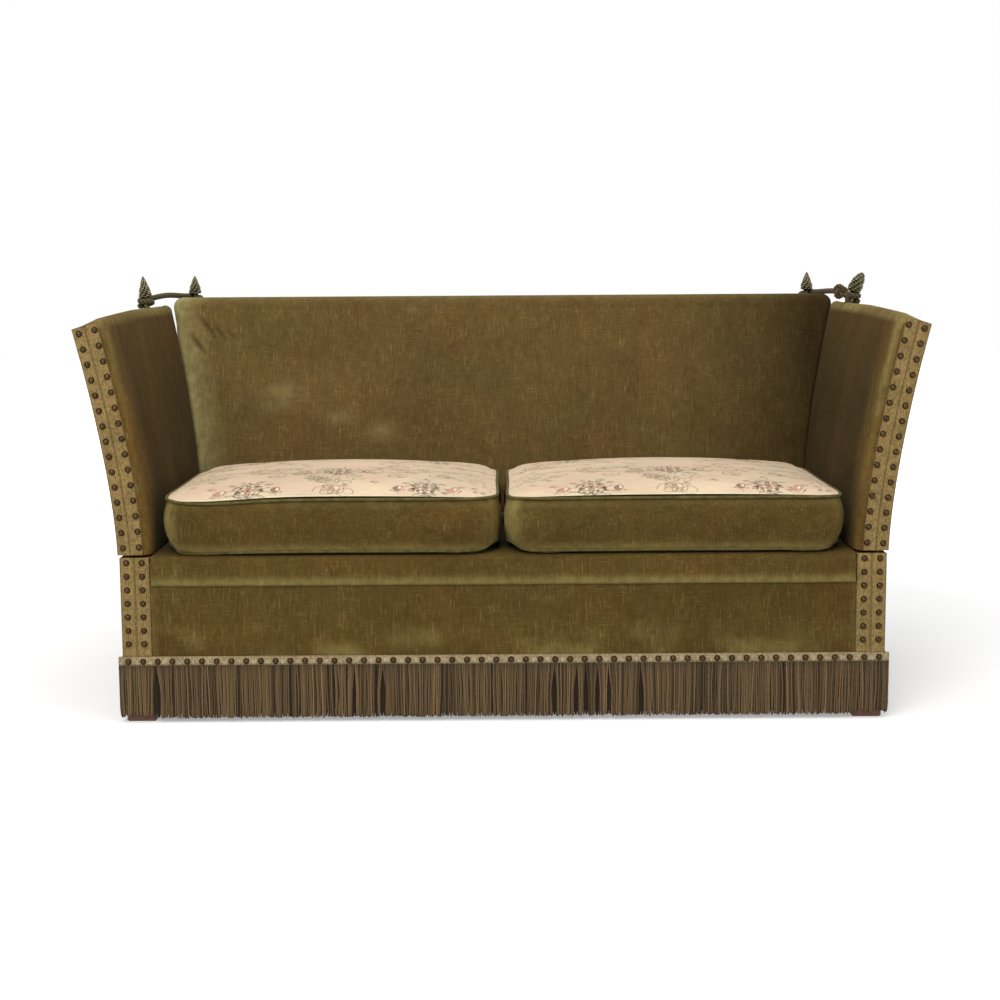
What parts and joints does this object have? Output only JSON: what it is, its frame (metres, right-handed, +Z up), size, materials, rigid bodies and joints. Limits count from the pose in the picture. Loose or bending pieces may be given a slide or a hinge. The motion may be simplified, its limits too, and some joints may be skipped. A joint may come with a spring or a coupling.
{
  "type": "two-seater drop-arm sofa",
  "caption": "Upholstered drop-arm sofa with flared arms that fold outward, tie cords on finials, a raked back, loose cushions and a fringed base.",
  "frame": {"origin": "centre of the bounding box on the floor under the sofa", "axes": "+X along the seat to the right as seen from the front, -Y the front, +Z up"},
  "size_m": [1.707, 0.8781, 0.903],
  "materials": {
    "velvet": "cut velvet pile, olive brown",
    "braid": "woven gimp braid",
    "fringe": "twisted bullion strands",
    "tapestry": "flat woven floral tapestry",
    "beech": "planed, unfinished",
    "stained_wood": "stained and waxed",
    "jute": "woven webbing",
    "platform_cloth": "plain platform cloth",
    "hinge_brass": "dull",
    "antique_brass": "antique, cast and gilded",
    "cord": "twisted upholstery cord"
  },
  "bodies": {
    "frame": {"back_bottom_rail": "beech", "back_finial_left": "antique_brass", "back_finial_right": "antique_brass", "back_pad": "velvet", "back_post_left": "beech", "back_post_right": "beech", "back_top_rail": "beech", "back_webbing": "jute", "base_band_left": "braid", "base_band_right": "braid", "dust_cover": "platform_cloth", "fringe_front": "fringe", "fringe_left": "fringe", "fringe_rear": "fringe", "fringe_right": "fringe", "front_lip": "velvet", "front_panel": "velvet", "hinge_left_front_fixed_leaf": "hinge_brass", "hinge_left_rear_fixed_leaf": "hinge_brass", "hinge_right_front_fixed_leaf": "hinge_brass", "hinge_right_rear_fixed_leaf": "hinge_brass", "leg_front_left": "stained_wood", "leg_front_right": "stained_wood", "leg_rear_left": "stained_wood", "leg_rear_right": "stained_wood", "outer_back": "velvet", "rear_cover": "velvet", "seat_deck": "platform_cloth", "seat_rail_front": "beech", "seat_rail_left": "beech", "seat_rail_rear": "beech", "seat_rail_right": "beech", "seat_stretcher": "beech", "seat_webbing": "jute", "side_cover_left": "velvet", "side_cover_right": "velvet", "tie_cord_left_back_turns": "cord", "tie_cord_right_back_turns": "cord"},
    "arm_left": {"arm_left_board": "beech", "arm_left_cover": "velvet", "arm_left_finial": "antique_brass", "arm_left_front_band": "braid", "arm_left_pad": "velvet", "hinge_left_front_arm_leaf": "hinge_brass", "hinge_left_rear_arm_leaf": "hinge_brass"},
    "arm_right": {"arm_right_board": "beech", "arm_right_cover": "velvet", "arm_right_finial": "antique_brass", "arm_right_front_band": "braid", "arm_right_pad": "velvet", "hinge_right_front_arm_leaf": "hinge_brass", "hinge_right_rear_arm_leaf": "hinge_brass"},
    "tie_cord_left": {"tie_cord_left": "cord"},
    "tie_cord_right": {"tie_cord_right": "cord"},
    "seat_cushion_left": {"seat_cushion_left": "velvet", "seat_cushion_left_top": "tapestry"},
    "seat_cushion_right": {"seat_cushion_right": "velvet", "seat_cushion_right_top": "tapestry"}
  },
  "joints": [
    {"name": "arm_left_fold", "type": "hinge", "parent": "frame", "child": "arm_left", "pos_m": [-0.782, 0, 0.3435], "axis": [0, -1, 0], "range_deg": [0, 80]},
    {"name": "arm_right_fold", "type": "hinge", "parent": "frame", "child": "arm_right", "pos_m": [0.782, 0, 0.3435], "axis": [0, 1, 0], "range_deg": [0, 80]},
    {"name": "tie_cord_left_drop", "type": "hinge", "parent": "frame", "child": "tie_cord_left", "pos_m": [-0.79687, 0.31105, 0.85492], "axis": [0.95, -0.3123, 0], "range_deg": [0, 85], "deforming": ["tie_cord_left"]},
    {"name": "tie_cord_right_drop", "type": "hinge", "parent": "frame", "child": "tie_cord_right", "pos_m": [0.79328, 0.31049, 0.85508], "axis": [0.9637, 0.267, 0], "range_deg": [0, 85], "deforming": ["tie_cord_right"]},
    {"name": "seat_cushion_left_lift", "type": "slide", "parent": "frame", "child": "seat_cushion_left", "axis": [0, 0, 1], "range_m": [0, 0.15]},
    {"name": "seat_cushion_right_lift", "type": "slide", "parent": "frame", "child": "seat_cushion_right", "axis": [0, 0, 1], "range_m": [0, 0.15]}
  ],
  "couplings": [
    {"joint": "tie_cord_left_drop", "follows": "arm_left_fold", "ratio": 1.0625},
    {"joint": "tie_cord_right_drop", "follows": "arm_right_fold", "ratio": 1.0625}
  ]
}
